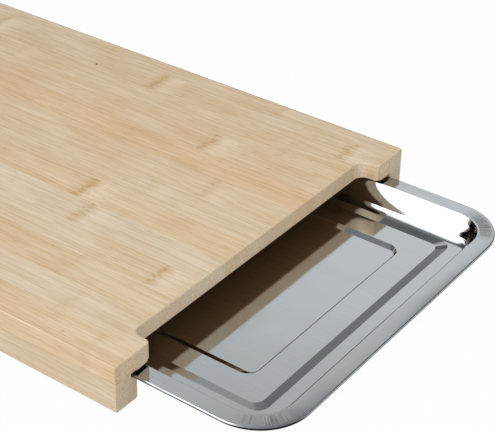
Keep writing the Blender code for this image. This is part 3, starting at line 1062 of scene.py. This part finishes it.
# %% Shape the knuckles
def knuckle_masks(kit, given, split, place):
    """A ragged dark band across the lath at each knuckle, and a pale patch in front of it.

    The distance along the board is wrapped into one stem length, so that a
    knuckle comes back at every gap. A noise shifts each fibre by its own few
    millimetres, which breaks the line into curls.
    """
    from_first = kit.math("SUBTRACT", split["Y"], given["Knuckle Place"])
    turns = kit.math("DIVIDE", from_first, given["Knuckle Gap"])
    nearest = kit.math("SUBTRACT", turns, kit.math("ROUND", turns))
    distance = kit.times(kit.times(nearest, given["Knuckle Gap"]), MM_PER_METRE)
    bend = kit.swing(kit.noise(place, *BEND))
    shifted = kit.times_plus(bend, KNUCKLE_BEND, distance)
    ragged = kit.noise(place, *RAGGED)
    curls = kit.between(kit.math("ABSOLUTE", shifted), *CURL_FADE)
    curls = kit.times(curls, kit.between(ragged, *RAGGED_CURLS))
    halo = kit.between(kit.math("ABSOLUTE", distance), *HALO_FADE)
    dark = kit.times_plus(halo, ragged, curls)
    pale = kit.window(shifted, PALE_PATCH_STOPS)
    return dark, kit.times(pale, kit.between(ragged, *RAGGED_PATCH))


bamboo = bamboo_group()

# %% [markdown]
# ## Marks of use
#
# Sanded edges of a used board are a touch smoother, and a touch paler, which
# is partly wear and partly a painted highlight along the rounded edge. A hand
# leaves cloudy patches of shine. Both wood and steel need the second effect,
# so it is a group of its own: a soft mask that each material turns into its
# own change of roughness.

# %% Build the handling group
HANDLING_NOISE = {"Scale": 1.0, "Detail": 4.0, "Roughness": 0.55, "Distortion": 0.4}
HANDLING_EDGE = (0.38, 0.66)


def handling_group():
    """A soft patchy mask from 0 to 1 over the surface, at a size in patches per metre."""
    inputs = (("Place", "Vector"), ("Scale", "Float"))
    tree, kit, given, result = new_group("handling", inputs, (("Mask", "Float"),))
    sizes = {0: given["Place"], "Scale": given["Scale"]}
    scaled = kit.node("VectorMath", sizes, operation="SCALE").outputs[0]
    cloud = kit.node("TexNoise", {"Vector": scaled, **HANDLING_NOISE}).outputs[0]
    kit.feed(result["Mask"], kit.between(cloud, *HANDLING_EDGE))
    return tree


handling = handling_group()


def touched_mask(kit, place, patches_per_metre):
    """The handling group's mask in a material."""
    inputs = {"Place": place, "Scale": patches_per_metre}
    return kit.node("Group", inputs, node_tree=handling).outputs["Mask"]


# %% [markdown]
# ## The finishes
#
# The laths share one bamboo material, and the rails have a second one that is
# slightly darker. Both place the bamboo group and give it the numbers that
# each piece carries. A Bump node turns the fibres' height into a very shallow
# relief.

# %% Make the bamboo finishes


def new_material(name):
    """A material with its kit and its one Principled shader."""
    material = bpy.data.materials.new(name)
    material.use_nodes = True
    nodes = material.node_tree.nodes
    return material, NodeKit(material.node_tree), nodes["Principled BSDF"]


SPECK_RADIUS = 0.0011
SPECK_COLOUR = colour(0.03, 0.02, 0.015)
WOOD_PATCHES_PER_METRE = 22.0
WOOD_SPECULAR = 0.35
FIBRE_BUMP = {"Strength": 0.25, "Distance": 0.0001}
EDGE_WEAR_AND_HIGHLIGHT = 0.15
WORN_SMOOTHER = -0.05
TOUCHED_SMOOTHER = -0.07


def bamboo_material(name, pale, deep, speck=None):
    """Oiled bamboo: satin, with shallow fibres, and a burnt speck where a place is given."""
    material, kit, shader = new_material(name)
    coordinates = kit.node("TexCoord")
    place = coordinates.outputs["Object"]
    inputs = {"Place": place, "Normal": coordinates.outputs["Normal"], "Pale": pale, "Deep": deep}
    inputs |= {socket_name(label): kit.attribute(label) for label in OWN_NUMBERS}
    wood = kit.node("Group", inputs, node_tree=bamboo).outputs
    touched = touched_mask(kit, place, WOOD_PATCHES_PER_METRE)
    paint = wood["Colour"]
    if speck:
        away = kit.node("VectorMath", {0: place, 1: speck}, operation="DISTANCE")
        mark = kit.between(away.outputs["Value"], SPECK_RADIUS, SPECK_RADIUS / 2)
        paint = kit.mix(mark, paint, SPECK_COLOUR)
    worn = kit.attribute("worn")
    # Paler along the sanded edges: partly wear, partly a painted highlight.
    paint = kit.mix(kit.times(worn, EDGE_WEAR_AND_HIGHLIGHT), paint, pale)
    kit.feed(shader.inputs["Base Color"], paint)
    rough = kit.times_plus(touched, TOUCHED_SMOOTHER, wood["Roughness"])
    rough = kit.times_plus(worn, WORN_SMOOTHER, rough)
    kit.feed(shader.inputs["Roughness"], rough)
    bump = kit.node("Bump", {"Height": wood["Height"], **FIBRE_BUMP})
    kit.feed(shader.inputs["Normal"], bump.outputs[0])
    shader.inputs["Specular IOR Level"].default_value = WOOD_SPECULAR
    return material


SPECK_PLACE_SHARES = (0.386, 0.828)
speck_place = (
    SPECK_PLACE_SHARES[0] * board_width,
    front_y + SPECK_PLACE_SHARES[1] * board_width,
    panel_top_z,
)
lath_colours = (colour(0.750, 0.603, 0.432), colour(0.52, 0.345, 0.175))
rail_colours = (colour(0.72, 0.585, 0.425), colour(0.50, 0.345, 0.195))
lath_finish = bamboo_material("oiled_bamboo", *lath_colours, speck_place)
rail_finish = bamboo_material("oiled_bamboo_rail", *rail_colours)

# %% [markdown]
# The steel is rolled sheet, bright as a mirror. It could be plain chrome, but
# rolling leaves fine lines along the sheet, and pressing leaves small
# wrinkles that fan round the corners of the rim. Both are far too fine to
# model, so they are bumps. The wrinkles follow the corner's angle, which the
# mesh carries. The turned-down hem carries painted shade, darkest at the front
# left corner.

# %% Make the steel finish
STEEL_TINTS = (colour(0.479, 0.497, 0.508), colour(0.522, 0.536, 0.547))
STEEL_TINT_EDGE = (0.25, 0.75)
STEEL_ROUGHNESS = (0.2, 0.8, 0.045, 0.085)
STEEL_PATCHES_PER_METRE = 26.0
TOUCHED_ROUGHER = 0.03
HEM_SHADE_COLOUR = colour(0.036, 0.036, 0.040)
HEM_SHADE_EDGE = (0.25, 0.55)

# The relief of the rolling lines, the sheet's slow waves and the wrinkles, in
# metres. The wrinkles lie between four insets from the rim's edge.
ROLLING_SCALE = (5200.0, 22.0, 400.0)
ROLLING_RELIEF = 0.0000010
WAVE_SCALE = (26.0, 17.0, 26.0)
WAVE_RELIEF = 0.00016
WRINKLES_PER_RADIAN = 60.0
WRINKLE_RELIEF = 0.00022
WRINKLE_INSETS = (0.0008, 0.0030, 0.0088, 0.0098)


def steel_material():
    """Bright pressed sheet with rolling lines, corner wrinkles and soft hand marks."""
    material, kit, shader = new_material("pressed_steel")
    place = kit.node("TexCoord").outputs["Object"]
    rolled = kit.noise(place, ROLLING_SCALE)
    wavy = kit.noise(place, WAVE_SCALE, detail=1.0)
    touched = touched_mask(kit, place, STEEL_PATCHES_PER_METRE)
    tint = kit.mix(kit.between(rolled, *STEEL_TINT_EDGE), *STEEL_TINTS)
    # Painted shade: the hem's colour is darkened by its shade value.
    painted_hem_shade = kit.between(kit.attribute("hem"), *HEM_SHADE_EDGE)
    kit.feed(shader.inputs["Base Color"], kit.mix(painted_hem_shade, tint, HEM_SHADE_COLOUR))
    shader.inputs["Metallic"].default_value = 1.0
    rough = kit.between(rolled, *STEEL_ROUGHNESS)
    kit.feed(shader.inputs["Roughness"], kit.times_plus(touched, TOUCHED_ROUGHER, rough))
    fan = kit.combine(kit.times(kit.attribute("fan"), WRINKLES_PER_RADIAN))
    wrinkle = kit.swing(kit.noise(fan))
    on_rim = kit.window(kit.attribute("inset"), WRINKLE_INSETS)
    on_rim = kit.times(on_rim, kit.attribute("corner"))
    height = kit.times(kit.times(wrinkle, on_rim), WRINKLE_RELIEF)
    height = kit.times_plus(rolled, ROLLING_RELIEF, height)
    height = kit.times_plus(wavy, WAVE_RELIEF, height)
    bump = kit.node("Bump", {"Height": height, "Strength": 1.0, "Distance": 1.0})
    kit.feed(shader.inputs["Normal"], bump.outputs[0])
    return material


steel_finish = steel_material()

# %% [markdown]
# ## Putting the pieces in place
#
# Each piece rides on the body that carries it: the glued board, or the tray
# that slides out of it. Each stands for the node whose place it takes.

# %% Place every piece
for number, mesh in enumerate(lath_meshes, start=1):
    add_piece(mesh, lath_finish, "board", f"panel_lath_{number:02d}")
for node, mesh in rail_meshes.items():
    add_piece(mesh, rail_finish, "board", node)
add_piece(steel_tray_mesh, steel_finish, "tray", "crumb_tray")

# %% [markdown]
# ## Comparing sizes
#
# The dressed model has to fill the same box as the frame. The largest
# difference between the two boxes is printed.

# %% Print the largest size difference
bpy.context.view_layer.update()
low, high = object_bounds()
difference = max((low - cad_low).length, (high - cad_high).length)
print("largest size difference:", round(difference * MM_PER_METRE, 3), "mm")
